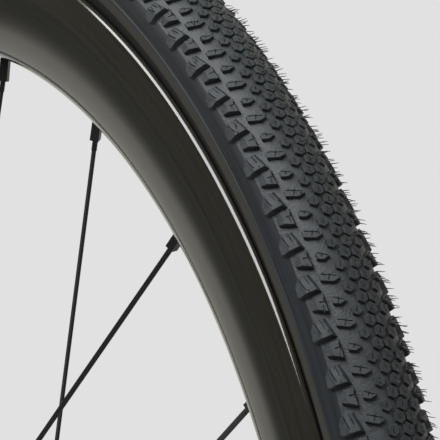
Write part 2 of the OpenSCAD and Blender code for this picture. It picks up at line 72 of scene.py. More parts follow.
# Chafer and bead: the chafer turns in to pass the lip, and between two radii its colour fades to a near-black
# painted shade, for the deep groove at the lip
CHAFER_TURN_ANGLE = 108
CHAFER_TURN = (322.6, 15.2)
CHAFER_RISE = 1.0
CHAFER_T = 0.4
CHAFER_GAP = 0.02
BEAD_TOP_R = 317.3
BEAD_HALF_W = 11.68
CHAFER_SHADED_R = 322.2
CHAFER_UNSHADED_R = 322.9
# Threads lie 0.45 mm apart on the strip, and are drawn twice as far apart so that they show
CHAFER_WAVE = 0.9
CHAFER_WAVES_ROUND = 2200.0

# Tread pattern: places are mm down the tyre from a pitch's first line, and degrees from the crown
PITCHES = 130
PITCH_TURN = 55.99
CROWN_H = 1.6
OUTER_ROW_H = 1.5
BASE_DROP = 0.6
CROWN_LIFT = 1.1
LOW_ANGLE = 48.0
OUTER_R = SECTION_R + TREAD_R + CROWN_H
PITCH_MM = 2 * math.pi * OUTER_R / PITCHES
ANGLE_MM = math.radians(1) * (TREAD_R + CROWN_H)

# Crown hexagons, mm long and wide, each with one short slit
FIRST_PLACE = -1.75
INNER_PLACES = (FIRST_PLACE, FIRST_PLACE + PITCH_MM / 2)
CENTRE_PLACES = (FIRST_PLACE + PITCH_MM / 4, FIRST_PLACE + PITCH_MM * 3 / 4)
INNER_ANGLE = -6.9
OUTER_ANGLE = -17.0
HEXAGON = (4.7, 3.6)
OUTER_HEXAGON = (4.3, 3.3)
HEXAGON_SLIT = (0.9, 0.8)

# Outlines and slits of the other knobs; a ridge joins two corners of a block and folds its top
LARGE_BLOCK = [(-7.1, -62.0), (-6.3, -68.0), (-5.0, -72.0), (-1.3, -73.0), (-0.2, -69.0), (0.0, -60.0),
    (0.0, -48.0), (-2.8, -50.5), (-6.5, -54.0)]
LARGE_SLITS = [((-7.3, -64.8), (-1.2, -58.8)), ((-7.0, -57.0), (-2.6, -53.8))]
LARGE_RIDGE = (0, 5)
SMALL_BLOCK = [(2.2, -54.0), (2.9, -62.0), (5.9, -62.0), (7.0, -54.0), (8.6, -44.6), (1.9, -44.6)]
SMALL_SLITS = [((4.6, -51.0), (4.7, -45.0)), ((3.4, -45.2), (5.9, -45.2))]
SMALL_RIDGE = (0, 3)
WIDE_KNOB = [(-4.9, -42.0), (-2.4, -42.3), (-0.5, -29.6), (-1.2, -22.6), (-2.7, -22.4), (-5.4, -37.6)]
WIDE_SLITS = [((-3.9, -30.6), (-1.7, -33.9)), ((-4.6, -39.4), (-2.35, -24.6))]
NARROW_KNOB = [(4.6, -37.8), (6.7, -38.0), (7.7, -31.0), (6.9, -24.3), (5.9, -24.2), (3.8, -33.8)]
NARROW_SLITS = [((4.5, -35.8), (6.5, -25.6)), ((4.4, -28.7), (6.5, -32.7))]
# Each further slit of a knob is a little shallower, so that no two floors lie in one plane
SLIT_STEP = 0.06
# Sharp corners of a grown outline are cut short by this
MITRE_LIMIT = 0.35

# Vent hairs: places beside the crown, the share of places that kept their hair, and how the hairs lie, in mm
HAIR_PLACES = [(-4.5, 37.5), (-3.6, 33.0), (-2.6, 28.0), (-1.9, 25.0), (4.9, 35.5), (5.9, 31.0), (6.6, 26.5),
    (3.2, 46.0), (4.5, 50.0), (5.9, 48.0), (7.4, 46.0), (-5.6, 54.0), (-4.2, 57.0), (-2.6, 52.0), (-1.4, 55.0),
    (-0.6, 49.0)]
CROWN_SHARE = 0.5
LEFT_SHARE = 0.9
RIGHT_SHARE = 0.3
SCATTER_MM = 0.7
SCATTER_ANGLE = 2.0
HAIR_ROOT_H = 0.7
COMBED = 0.6
SHORTEST_HAIR = 2.2
LONGEST_HAIR = 3.2
HAIR_TILT = 0.2

# Rim section: radius, and distance from the middle plane; the flank's curve leaves the band and meets the nose
# along its two reaches
SEAT_R = 311.0
TAPE_T = 0.2
INNER_HALF_W = 11.7
LIP_MID_R = 315.85
LIP_INNER_RISE = 0.45
LIP_INNER_ROUND = 0.65
LIP_INNER_ANGLES = (-90, 10)
LIP_ROUND = 3.0
LIP_ROUND_MID = (314.091, 11.474)
LIP_ROUND_ANGLES = (20, 58.5)
LIP_EDGE = (314.6, 14.03)
BAND_W = 6
BAND_SWELL = 0.16
FLARE_R = 303.5
FLARE_HALF_W = 13.7
FLANK_REACH = (12, 0.95)
NOSE_R = 275.0
NOSE_REACH = (0.8, 12.9)
TYRE_BED = [(306.0, 4.6), (311.4, 5.6), (311.4, 6.1), (311.0, 6.6)]

# Rings round the axle: their steps, and the radius at which the marks on them have their full length
RING_STEPS = 520
STREAK_R = 300

# Lacing: angle of each side's first nipple, and how far each nipple is turned on its spoke
NIPPLES_PER_SIDE = 12
RIGHT_START = 18.52
LEFT_START = 3.52
FIRST_TWIST = -7.0
NEXT_TWIST = 26.0

# Stage, in m: the floor's pale edge, and the directions from which the room is dim in reflections
GROUND = "#e1e1e1"
FLOOR_R = 2.2
FLOOR_FADE = (0.5, 2.1)
DIM_SIDE = (-0.44, -0.38)

# Camera: the photograph's viewing angle in degrees, its place in m and its focal length in pixels
AZIMUTH = 57.343
ELEVATION = 0.722
ROLL = 0.236
CAMERA_PLACE = (1.08933, -0.56699, 0.22325)
FOCAL_PIXELS = 3110
PICTURE_PIXELS = 440
SENSOR_MM = 36


def colour(code):
    """Linear colour from an sRGB hex value."""
    parts = [int(code[i:i + 2], 16) / 255 for i in (1, 3, 5)]
    return [p / 12.92 if p <= 0.04045 else ((p + 0.055) / 1.055) ** 2.4 for p in parts] + [1.0]


def add(tree, kind, inputs=None, **settings):
    """Adds a node with its settings, and links or sets its inputs."""
    node = tree.nodes.new(kind)
    for name, value in settings.items():
        setattr(node, name, value)
    for socket, value in (inputs or {}).items():
        if isinstance(value, bpy.types.NodeSocket):
            tree.links.new(value, node.inputs[socket])
        else:
            node.inputs[socket].default_value = value
    return node


def start_material(name, **constants):
    """A new material with its shader, and the constant values of that shader."""
    material = bpy.data.materials.new(name)
    material.use_nodes = True
    tree = material.node_tree
    shader = tree.nodes["Principled BSDF"]
    for socket, value in constants.items():
        shader.inputs[socket.replace("_", " ")].default_value = value
    return material, tree, shader


def wheel_radius(tree):
    """Distance from the axle, in m, with the flat place that it belongs to and the distance along the axle."""
    place = add(tree, "ShaderNodeSeparateXYZ", {0: add(tree, "ShaderNodeTexCoord").outputs["Object"]})
    flat = add(tree, "ShaderNodeCombineXYZ", {"X": place.outputs["X"], "Z": place.outputs["Z"]})
    length = add(tree, "ShaderNodeVectorMath", {0: flat.outputs[0]}, operation="LENGTH")
    return length.outputs["Value"], flat.outputs[0], place.outputs["Y"]


def ring_streaks(tree, around, across, detail):
    """Noise round the wheel without a seam: marks `across` mm wide, and `around` mm long at the rim."""
    radius, flat, along = wheel_radius(tree)
    unit = add(tree, "ShaderNodeVectorMath", {0: flat}, operation="NORMALIZE")
    circle = add(tree, "ShaderNodeVectorMath", {0: unit.outputs[0], "Scale": STREAK_R / around},
        operation="SCALE")
    rise = add(tree, "ShaderNodeMath", {0: radius, 1: 1 / (across * MM)}, operation="MULTIPLY")
    lift = add(tree, "ShaderNodeCombineXYZ", {"Y": rise.outputs[0]})
    point = add(tree, "ShaderNodeVectorMath", {0: circle.outputs[0], 1: lift.outputs[0]}, operation="ADD")
    side = add(tree, "ShaderNodeMath", {0: along, 1: 1 / (across * MM)}, operation="MULTIPLY")
    noise = add(tree, "ShaderNodeTexNoise", {"Vector": point.outputs[0], "W": side.outputs[0], "Scale": 1.0,
        "Detail": detail}, noise_dimensions="4D")
    return noise.outputs["Fac"]


def two_shades(tree, pattern, dark, light, spread=(0.0, 1.0)):
    """Colour between two shades, where the pattern goes over a spread of its values."""
    tint = add(tree, "ShaderNodeMapRange", {"Value": pattern, "From Min": spread[0], "From Max": spread[1]})
    mix = add(tree, "ShaderNodeMix", {"Factor": tint.outputs[0], "A": colour(dark), "B": colour(light)},
        data_type="RGBA")
    return mix.outputs["Result"]


def dress(tree, shader, shade, pattern, strength, depth, rough=None):
    """Gives a shader its colour, a relief `depth` mm deep and, where it varies, its range of roughness."""
    tree.links.new(shade, shader.inputs["Base Color"])
    bump = add(tree, "ShaderNodeBump", {"Strength": strength, "Distance": depth * MM, "Height": pattern})
    tree.links.new(bump.outputs[0], shader.inputs["Normal"])
    if rough:
        source, low, high = rough
        gloss = add(tree, "ShaderNodeMapRange", {"Value": source, "To Min": low, "To Max": high})
        tree.links.new(gloss.outputs[0], shader.inputs["Roughness"])


def tread_rubber(name, dark, light, low_rough, high_rough):
    """Vulcanised rubber as it leaves the mould: nearly black, dull, a little paler where it has bloomed."""
    material, tree, shader = start_material(name, Specular_IOR_Level=0.42)
    place = add(tree, "ShaderNodeTexCoord").outputs["Object"]
    bloom = add(tree, "ShaderNodeTexNoise", {"Vector": place, "Scale": 1 / (3 * MM), "Detail": 6.0})
    # The blasted grain is about 0.1 mm on the tyre, and is drawn at 0.7 mm so that it shows
    grain = add(tree, "ShaderNodeTexNoise", {"Vector": place, "Scale": 1 / (0.7 * MM), "Detail": 3.0})
    shade = two_shades(tree, bloom.outputs["Fac"], dark, light, (0.3, 0.7))
    dress(tree, shader, shade, grain.outputs["Fac"], strength=0.9, depth=0.22,
        rough=(bloom.outputs["Fac"], low_rough, high_rough))
    return material


def sidewall_rubber():
    """Moulded sidewall rubber: smoother than the tread, blue black, with faint marks round the wheel."""
    material, tree, shader = start_material("moulded sidewall rubber", Specular_IOR_Level=0.45)
    marks = ring_streaks(tree, around=30, across=1.2, detail=3.0)
    shade = two_shades(tree, marks, "#11161a", "#252b31", (0.3, 0.7))
    dress(tree, shader, shade, marks, strength=0.25, depth=0.06, rough=(marks, 0.42, 0.62))
    return material


def chafer_fabric():
    """Woven nylon strip soaked in rubber: brown grey, with a close weave that shows as fine crossed ribs, and
    near-black painted shade towards the bead.
    """
    material, tree, shader = start_material("rubbered nylon chafer", Roughness=0.72, Specular_IOR_Level=0.2)
    place = add(tree, "ShaderNodeSeparateXYZ", {0: add(tree, "ShaderNodeTexCoord").outputs["Object"]})
    turn = add(tree, "ShaderNodeMath", {0: place.outputs["Z"], 1: place.outputs["X"]}, operation="ARCTAN2")
    radius, _, _ = wheel_radius(tree)
    waves = []
    for step in (1, -1):
        up = add(tree, "ShaderNodeMath", {0: radius, 1: step * 2 * math.pi / (CHAFER_WAVE * MM)},
            operation="MULTIPLY")
        lean = add(tree, "ShaderNodeMath", {0: turn.outputs[0], 1: CHAFER_WAVES_ROUND, 2: up.outputs[0]},
            operation="MULTIPLY_ADD")
        waves.append(add(tree, "ShaderNodeMath", {0: lean.outputs[0]}, operation="SINE").outputs[0])
    weave = add(tree, "ShaderNodeMath", {0: waves[0], 1: waves[1]}, operation="MAXIMUM").outputs[0]
    strip = two_shades(tree, weave, "#3b3933", "#4d4a43", (-0.4, 1.0))
    # Towards the bead the strip fades to near black between two radii: painted shade for the deep, shadowed
    # groove between the tyre and the rim's lip
    groove_shade_fade = add(tree, "ShaderNodeMapRange", {"Value": radius, "From Min": CHAFER_SHADED_R * MM,
        "From Max": CHAFER_UNSHADED_R * MM})
    edge = add(tree, "ShaderNodeMix", {"Factor": groove_shade_fade.outputs[0], "A": colour("#020202"), "B": strip},
        data_type="RGBA")
    dress(tree, shader, edge.outputs["Result"], weave, strength=0.5, depth=0.08)
    return material


def rim_carbon():
    """Carbon fibre laid round the rim under a satin clear coat: olive black, with long fine fibre streaks, and
    painted light on the outer band past the flare.
    """
    material, tree, shader = start_material("satin coated carbon fibre", Coat_Weight=1.0, Coat_Roughness=0.11,
        Coat_IOR=1.7, Specular_IOR_Level=0.0)
    fibres = ring_streaks(tree, around=45, across=0.5, detail=5.0)
    flank = two_shades(tree, fibres, "#0d0d08", "#242318", (0.3, 0.7))
    # The outer band past the flare gets paler shades than the flank: painted light, for the brighter look that
    # the bend at the flare gives it
    painted_light_band = two_shades(tree, fibres, "#1f1d16", "#37342a", (0.3, 0.7))
    radius, _, _ = wheel_radius(tree)
    outer = add(tree, "ShaderNodeMapRange", {"Value": radius, "From Min": (FLARE_R - 1) * MM,
        "From Max": (FLARE_R + 1) * MM})
    mix = add(tree, "ShaderNodeMix", {"Factor": outer.outputs[0], "A": flank, "B": painted_light_band}, data_type="RGBA")
    dress(tree, shader, mix.outputs["Result"], fibres, strength=0.3, depth=0.04, rough=(fibres, 0.36, 0.5))
    return material


def grained(name, dark, light, grain, low_rough, high_rough, depth, **constants):
    """Surface with a fine even grain, `grain` mm across, between two shades and two roughnesses."""
    material, tree, shader = start_material(name, **constants)
    place = add(tree, "ShaderNodeTexCoord").outputs["Object"]
    noise = add(tree, "ShaderNodeTexNoise", {"Vector": place, "Scale": 1 / (grain * MM), "Detail": 4.0})
    noise = noise.outputs["Fac"]
    shade = two_shades(tree, noise, dark, light)
    dress(tree, shader, shade, noise, strength=0.3, depth=depth, rough=(noise, low_rough, high_rough))
    return material


def turned(name, dark, light, low_rough, high_rough, **constants):
    """Metal turned on a lathe about the axle, with fine tool marks round it."""
    material, tree, shader = start_material(name, **constants)
    marks = ring_streaks(tree, around=200, across=0.35, detail=3.0)
    shade = two_shades(tree, marks, dark, light)
    dress(tree, shader, shade, marks, strength=0.2, depth=0.02, rough=(marks, low_rough, high_rough))
    return material


def woven(name, dark, light, spacing):
    """Parallel cords on the bias, `spacing` mm apart, as in a tyre's casing and belt."""
    material, tree, shader = start_material(name, Roughness=0.8)
    place = add(tree, "ShaderNodeSeparateXYZ", {0: add(tree, "ShaderNodeTexCoord").outputs["Object"]})
    total = add(tree, "ShaderNodeMath", {0: place.outputs["X"], 1: place.outputs["Y"]}, operation="ADD")
    total = add(tree, "ShaderNodeMath", {0: total.outputs[0], 1: place.outputs["Z"]}, operation="ADD")
    phase = add(tree, "ShaderNodeMath", {0: total.outputs[0], 1: 2 * math.pi / (spacing * MM)},
        operation="MULTIPLY")
    cords = add(tree, "ShaderNodeMath", {0: phase.outputs[0]}, operation="SINE").outputs[0]
    shade = two_shades(tree, cords, dark, light, (-1.0, 1.0))
    dress(tree, shader, shade, cords, strength=0.5, depth=0.1)
    return material


def new_object(name, mesh):
    """A new object of a mesh, in the scene."""
    piece = bpy.data.objects.new(name, mesh)
    bpy.context.scene.collection.objects.link(piece)
    return piece


def mesh_from(name, points, faces, split=False):
    """Mesh of points in mm, with its faces turned outwards, and split into triangles where that is asked."""
    mesh = bpy.data.meshes.new(name)
    mesh.from_pydata([[c * MM for c in p] for p in points], [], faces)
    shape = bmesh.new()
    shape.from_mesh(mesh)
    bmesh.ops.recalc_face_normals(shape, faces=shape.faces)
    if split:
        bmesh.ops.triangulate(shape, faces=shape.faces)
    shape.to_mesh(mesh)
    shape.free()
    return mesh


def arc(middle_r, middle_y, radius, start, end, steps):
    """Points of radius and distance along an arc of a section, its angles from the outward direction."""
    angles = np.radians(np.linspace(start, end, steps + 1))
    return [(middle_r + radius * math.cos(a), middle_y + radius * math.sin(a)) for a in angles]


def bent(start, first, second, end, steps):
    """Points along a curve of a section that leaves towards one point and arrives from another."""
    return [tuple((1 - t) ** 3 * a + 3 * (1 - t) ** 2 * t * b + 3 * (1 - t) * t * t * c + t ** 3 * d
        for a, b, c, d in zip(start, first, second, end)) for t in np.linspace(0, 1, steps + 1)]


def ring(name, outline, material, sharp=32):
    """Closed ring round the axle from an outline of radius and distance, smooth except at sharp corners."""
    count = len(outline)
    turns = [2 * math.pi * k / RING_STEPS for k in range(RING_STEPS)]
    points = [(r * math.cos(t), y, r * math.sin(t)) for t in turns for r, y in outline]
    faces = []
    for k in range(RING_STEPS):
        a, b = k * count, (k + 1) % RING_STEPS * count
        for i in range(count):
            j = (i + 1) % count
            faces.append((a + i, a + j, b + j, b + i))
    mesh = mesh_from(name, points, faces)
    mesh.shade_smooth()
    mesh.set_sharp_from_angle(angle=math.radians(sharp))
    mesh.materials.append(material)
    return new_object(name, mesh)


def base_radius(angle):
    """Radius of the tread's base in the section: high under the crown, lowest between the shoulder blocks."""
    low = TREAD_R - BASE_DROP
    if abs(angle) < LOW_ANGLE:
        return low + CROWN_LIFT * (1 - (angle / LOW_ANGLE) ** 2)
    share = (abs(angle) - LOW_ANGLE) / (TREAD_HALF_ANGLE - LOW_ANGLE)
    return low + (SIDEWALL_R - low) * min(1.0, share)


def tread_outline():
    """Closed outline of the tread's base, with the belt's and the casing's room under it."""
    line = [(SECTION_R + base_radius(a) * math.cos(math.radians(a)), base_radius(a) * math.sin(math.radians(a)))
        for a in np.linspace(-TREAD_HALF_ANGLE, TREAD_HALF_ANGLE, 69)]
    line += arc(SECTION_R, 0, CASING_R, TREAD_HALF_ANGLE, BELT_HALF_ANGLE, 4)
    line += arc(SECTION_R, 0, BELT_R, BELT_HALF_ANGLE, -BELT_HALF_ANGLE, 24)
    return line + arc(SECTION_R, 0, CASING_R, -BELT_HALF_ANGLE, -TREAD_HALF_ANGLE, 4)


def sidewall_outline(side):
    """Closed outline of a sidewall, with the mould's parting ridge near its widest place."""
    line = arc(SECTION_R, 0, SIDEWALL_R, side * TREAD_HALF_ANGLE, side * RIDGE_START, 8)
    for angle, rise in RIDGE:
        a = math.radians(angle)
        line.append((SECTION_R + (SIDEWALL_R + rise) * math.cos(a), side * (SIDEWALL_R + rise) * math.sin(a)))
    line += arc(SECTION_R, 0, SIDEWALL_R, side * RIDGE_END, side * SIDEWALL_END_ANGLE, 1)
    return line + arc(SECTION_R, 0, CASING_R, side * SIDEWALL_END_ANGLE, side * TREAD_HALF_ANGLE, 8)


def chafer_outline(side):
    """Closed outline of a chafer, from the sidewall down between the bead and the rim's lip."""
    in_angle = math.degrees(math.acos((BEAD_TOP_R - SECTION_R) / CASING_R))
    outside = BEAD_HALF_W - CHAFER_GAP
    inside = BEAD_HALF_W - CHAFER_T
    line = arc(SECTION_R, 0, CHAFER_R, SIDEWALL_END_ANGLE, CHAFER_TURN_ANGLE, 8)
    foot = SEAT_R + TAPE_T
    line += [CHAFER_TURN, (LIP_MID_R + CHAFER_RISE, outside), (foot, outside), (foot, inside),
        (LIP_MID_R, inside)]
    line += arc(SECTION_R, 0, CASING_R, in_angle, SIDEWALL_END_ANGLE, 14)
    return [(r, side * y) for r, y in line]


def rim_outline():
    """Closed outline of the rim: rounded lips, flat outer bands, flanks and a round nose, and the tyre bed."""
    half = [(SEAT_R, INNER_HALF_W), (LIP_MID_R, INNER_HALF_W)]
    half += arc(LIP_MID_R + LIP_INNER_RISE, INNER_HALF_W + LIP_INNER_ROUND, LIP_INNER_ROUND,
        *LIP_INNER_ANGLES, steps=6)
    half += arc(*LIP_ROUND_MID, LIP_ROUND, *LIP_ROUND_ANGLES, steps=10)
    half += [LIP_EDGE, (FLARE_R + BAND_W, FLARE_HALF_W + BAND_SWELL)]
    half += bent((FLARE_R, FLARE_HALF_W), (FLARE_R - FLANK_REACH[0], FLARE_HALF_W - FLANK_REACH[1]),
        (NOSE_R - NOSE_REACH[0], NOSE_REACH[1]), (NOSE_R, 0.0), 26)
    other = [(r, -y) for r, y in reversed(half[:-1])]
    return half + other + [(r, -y) for r, y in reversed(TYRE_BED)] + TYRE_BED


def on_tyre(down, angle, height):
    """Point in mm on the tread: mm down the tyre, degrees from the crown, mm over the base."""
    turn = math.radians(PITCH_TURN) - down / OUTER_R
    a = math.radians(angle)
    r = SECTION_R + (TREAD_R + height) * math.cos(a)
    return r * math.cos(turn), (TREAD_R + height) * math.sin(a), r * math.sin(turn)


def offset_outline(outline, grow):
    """Outline of mm and degrees, grown outwards by mm."""
    flat = [Vector((d, a * ANGLE_MM)) for d, a in outline]
    area = sum(p.x * q.y - q.x * p.y for p, q in zip(flat, flat[1:] + flat[:1]))
    sign = 1 if area > 0 else -1
    moved = []
    for before, here, after in zip(flat[-1:] + flat[:-1], flat, flat[1:] + flat[:1]):
        first = (here - before).normalized()
        second = (after - here).normalized()
        out_a = Vector((first.y, -first.x)) * sign
        out_b = Vector((second.y, -second.x)) * sign
        reach = (out_a + out_b) / max(MITRE_LIMIT, 1 + out_a.dot(out_b))
        moved.append(here + reach * grow)
    return [(p.x, p.y / ANGLE_MM) for p in moved]


def knob_shape(outline, top, draft=0.2, bevel=0.14, root=-0.65, ridge=None):
    """Points and faces of one moulded knob: sloping walls, a broken top edge, and a top given as a height rule.

    A ridge between two corners of the outline folds the top in two."""
    rings = [(offset_outline(outline, draft), None), (outline, -bevel), (offset_outline(outline, -bevel), 0.0)]
    count = len(outline)
    points = []
    for line, drop in rings:
        for down, angle in line:
            points.append(on_tyre(down, angle, root if drop is None else top(down, angle) + drop))
    first, last = ridge or (0, count - 1)
    faces = [tuple(range(count)), tuple(2 * count + k for k in range(first, last + 1))]
    if ridge:
        faces.append(tuple(2 * count + k % count for k in range(last, first + count + 1)))
    for low in (0, count):
        for i in range(count):
            j = (i + 1) % count
            faces.append((low + i, low + j, low + count + j, low + count + i))
    return points, faces


def slit_shape(start, end, width, top, depth):
    """Points and faces of the cutter for one slit in a knob's top, from one place to another."""
    a = Vector((start[0], start[1] * ANGLE_MM))
    b = Vector((end[0], end[1] * ANGLE_MM))
    aside = Vector((-(b - a).y, (b - a).x)).normalized() * width / 2
    corners = [(p.x, p.y / ANGLE_MM) for p in (a + aside, b + aside, b - aside, a - aside)]
    points = [on_tyre(d, g, top(d, g) + rise) for rise in (-depth, 1) for d, g in corners]
    faces = [(0, 1, 2, 3), (4, 5, 6, 7)] + [(i, (i + 1) % 4, (i + 1) % 4 + 4, i + 4) for i in range(4)]
    return points, faces


def cut_knob(name, outline, top, slits, depth=0.7, width=0.34, **form):
    """Mesh of one knob with its slits cut."""
    knob = new_object(name, mesh_from(name, *knob_shape(outline, top, **form), split=True))
    spares = [knob]
    for order, (start, end) in enumerate(slits):
        slit = slit_shape(start, end, width, top, depth - SLIT_STEP * order)
        spares.append(new_object(name + "_slit", mesh_from(name + "_slit", *slit, split=True)))
        cut = knob.modifiers.new("slit", "BOOLEAN")
        cut.object = spares[-1]
        cut.operation = "DIFFERENCE"
        cut.solver = "EXACT"
    ready = knob.evaluated_get(bpy.context.evaluated_depsgraph_get())
    result = bpy.data.meshes.new_from_object(ready)
    for spare in spares:
        bpy.data.objects.remove(spare)
    return result


def join_meshes(name, meshes, mirrored=()):
    """One mesh of several, with mirror images of some on the tyre's other side."""
    shape = bmesh.new()
    for mesh in meshes:
        shape.from_mesh(mesh)
    first_vert, first_face = len(shape.verts), len(shape.faces)
    for mesh in mirrored:
        shape.from_mesh(mesh)
    shape.verts.ensure_lookup_table()
    shape.faces.ensure_lookup_table()
    for vert in shape.verts[first_vert:]:
        vert.co.y = -vert.co.y
    bmesh.ops.reverse_faces(shape, faces=shape.faces[first_face:])
    result = bpy.data.meshes.new(name)
    shape.to_mesh(result)
    shape.free()
    return result


def steady(height):
    """Height rule of a level top."""
    return lambda down, angle: height


def climb(low, high, down_range, crest=0.0, inner_fall=0.0, outer_fall=0.0):
    """Height rule that climbs down the tyre over a range of mm, and falls from a crest by mm per degree."""
    def height(down, angle):
        share = min(1.0, max(0.0, (down - down_range[0]) / (down_range[1] - down_range[0])))
        past = angle - crest
        return low + (high - low) * share - inner_fall * max(0.0, past) - outer_fall * max(0.0, -past)
    return height


def hexagon_knob(down, angle, size, top):
    """Mesh of one hexagon with points up and down the tyre, and its slit."""
    long, half = size[0], size[1] / 2 / ANGLE_MM
    outline = [(down - long / 2, angle), (down - long / 4, angle - half), (down + long / 4, angle - half),
        (down + long / 2, angle), (down + long / 4, angle + half), (down - long / 4, angle + half)]
    reach, lean = HEXAGON_SLIT
    slit = ((down - reach, angle + lean), (down + reach, angle - lean))
    return cut_knob("hexagon", outline, steady(top), [slit], depth=0.5, width=0.3)


def crown_pitch():
    """Mesh of one pitch of the crown: rows of hexagons, and the slit knobs beside them."""
    middle = [hexagon_knob(d, 0.0, HEXAGON, CROWN_H) for d in CENTRE_PLACES]
    side = [hexagon_knob(d, INNER_ANGLE, HEXAGON, CROWN_H) for d in INNER_PLACES]
    side += [hexagon_knob(d, OUTER_ANGLE, OUTER_HEXAGON, OUTER_ROW_H) for d in CENTRE_PLACES]
    wide_top = climb(low=0.7, high=1.4, down_range=(-5.4, -0.5))
    side.append(cut_knob("wide_knob", WIDE_KNOB, wide_top, WIDE_SLITS))
    narrow_top = climb(low=0.75, high=1.4, down_range=(3.8, 7.7))
    side.append(cut_knob("narrow_knob", NARROW_KNOB, narrow_top, NARROW_SLITS))
    return join_meshes("crown_pitch", middle + side, side)


def shoulder_pitch():
    """Mesh of one pitch of a shoulder: a large block with two long slits, and a small one with a T of slits."""
    large_top = climb(low=1.0, high=1.7, down_range=(-7.0, 0.0), crest=-60.0, inner_fall=0.045, outer_fall=0.08)
    large = cut_knob("large_block", LARGE_BLOCK, large_top, LARGE_SLITS, depth=0.9, width=0.4, draft=0.8,
        ridge=LARGE_RIDGE)
    small_top = climb(low=1.0, high=1.7, down_range=(2.0, 8.0), crest=-54.0, inner_fall=0.07, outer_fall=0.09)
    small = cut_knob("small_block", SMALL_BLOCK, small_top, SMALL_SLITS, depth=0.8, width=0.42, draft=0.2,
        ridge=SMALL_RIDGE)
    return join_meshes("shoulder_pitch", [large, small])


def start_tree(name, **inputs):
    """A new node tree for shapes with its named inputs, and the node that gives them."""
    tree = bpy.data.node_groups.new(name, "GeometryNodeTree")
    for socket, kind in inputs.items():
        tree.interface.new_socket(socket, in_out="INPUT", socket_type="NodeSocket" + kind)
    tree.interface.new_socket("Result", in_out="OUTPUT", socket_type="NodeSocketGeometry")
    return tree, add(tree, "NodeGroupInput")


def end_tree(tree, placed, finish):
    """Makes a tree's copies real, and gives them their finish."""
    real = add(tree, "GeometryNodeRealizeInstances", {0: placed.outputs[0]})
    dressed = add(tree, "GeometryNodeSetMaterial", {"Geometry": real.outputs[0], "Material": finish})
    add(tree, "NodeGroupOutput", {0: dressed.outputs[0]})
    return tree


def wheel_tree():
    """Node tree that repeats a shape at even steps round the axle."""
    tree, given = start_tree("repeat round the wheel", Shape="Geometry", Count="Int", Finish="Material")
    points = add(tree, "GeometryNodePoints", {"Count": given.outputs["Count"]})
    step = add(tree, "ShaderNodeMath", {0: 2 * math.pi, 1: given.outputs["Count"]}, operation="DIVIDE")
    turn = add(tree, "ShaderNodeMath", {0: add(tree, "GeometryNodeInputIndex").outputs[0], 1: step.outputs[0]},
        operation="MULTIPLY")
    spin = add(tree, "ShaderNodeCombineXYZ", {"Y": turn.outputs[0]})
    placed = add(tree, "GeometryNodeInstanceOnPoints", {"Points": points.outputs[0],
        "Instance": given.outputs["Shape"], "Rotation": spin.outputs[0]})
    return end_tree(tree, placed, given.outputs["Finish"])


def hair_tree():
    """Node tree that sets a bent rubber hair on each point, along its direction, each a little different."""
    tree, given = start_tree("vent hairs", Places="Geometry", Hair="Object", Shortest="Float", Longest="Float",
        Tilt="Float", Finish="Material")
    hair = add(tree, "GeometryNodeObjectInfo", {"Object": given.outputs["Hair"]})
    out = add(tree, "GeometryNodeInputNamedAttribute", {"Name": "out"}, data_type="FLOAT_VECTOR")
    low = add(tree, "ShaderNodeMath", {0: given.outputs["Tilt"], 1: -1.0}, operation="MULTIPLY")
    wander = [add(tree, "FunctionNodeRandomValue", {"Min": low.outputs[0], "Max": given.outputs["Tilt"],
        "Seed": seed}, data_type="FLOAT").outputs["Value"] for seed in (11, 12, 13)]
    shake = add(tree, "ShaderNodeCombineXYZ", {"X": wander[0], "Y": wander[1], "Z": wander[2]})
    aim = add(tree, "ShaderNodeVectorMath", {0: out.outputs["Attribute"], 1: shake.outputs[0]}, operation="ADD")
    stand = add(tree, "FunctionNodeAlignRotationToVector", {"Vector": aim.outputs[0]}, axis="Z")
    spin = add(tree, "FunctionNodeRandomValue", {"Min": 0.0, "Max": 2 * math.pi, "Seed": 14}, data_type="FLOAT")
    roll = add(tree, "ShaderNodeCombineXYZ", {"Z": spin.outputs["Value"]})
    rolled = add(tree, "FunctionNodeRotateRotation", {0: stand.outputs[0], 1: roll.outputs[0]},
        rotation_space="LOCAL")
    size = add(tree, "FunctionNodeRandomValue", {"Min": given.outputs["Shortest"],
        "Max": given.outputs["Longest"], "Seed": 15}, data_type="FLOAT")
    scale = add(tree, "ShaderNodeCombineXYZ", {"X": 1.0, "Y": 1.0, "Z": size.outputs["Value"]})
    placed = add(tree, "GeometryNodeInstanceOnPoints", {"Points": given.outputs["Places"],
        "Instance": hair.outputs["Geometry"], "Rotation": rolled.outputs[0], "Scale": scale.outputs[0]})
    return end_tree(tree, placed, given.outputs["Finish"])


def grow(piece, tree, **values):
    """Runs a node tree on a piece with the named inputs, and keeps the result as a plain mesh."""
    modifier = piece.modifiers.new(tree.name, "NODES")
    modifier.node_group = tree
    for item in tree.interface.items_tree:
        if item.in_out == "INPUT" and item.name in values:
            modifier[item.identifier] = values[item.name]
    bpy.context.view_layer.update()
    ready = piece.evaluated_get(bpy.context.evaluated_depsgraph_get())
    mesh = bpy.data.meshes.new_from_object(ready)
    piece.modifiers.remove(modifier)
    piece.data = mesh
    return piece


def hair_mesh():
    """One vent hair, 1 mm long before it is stretched: three-sided, thinner and bent towards its tip."""
    levels = [(0.0, 0.2, 0.0), (0.6, 0.15, 0.06), (1.0, 0.08, 0.2)]
    points = [(lean + radius * math.cos(a), radius * math.sin(a), rise)
        for rise, radius, lean in levels for a in (0, 2 * math.pi / 3, 4 * math.pi / 3)]
    faces = [(0, 1, 2), (6, 7, 8)]
    for low in (0, 3):
        faces += [(low + i, low + (i + 1) % 3, low + 3 + (i + 1) % 3, low + 3 + i) for i in range(3)]
    return mesh_from("vent_hair", points, faces)


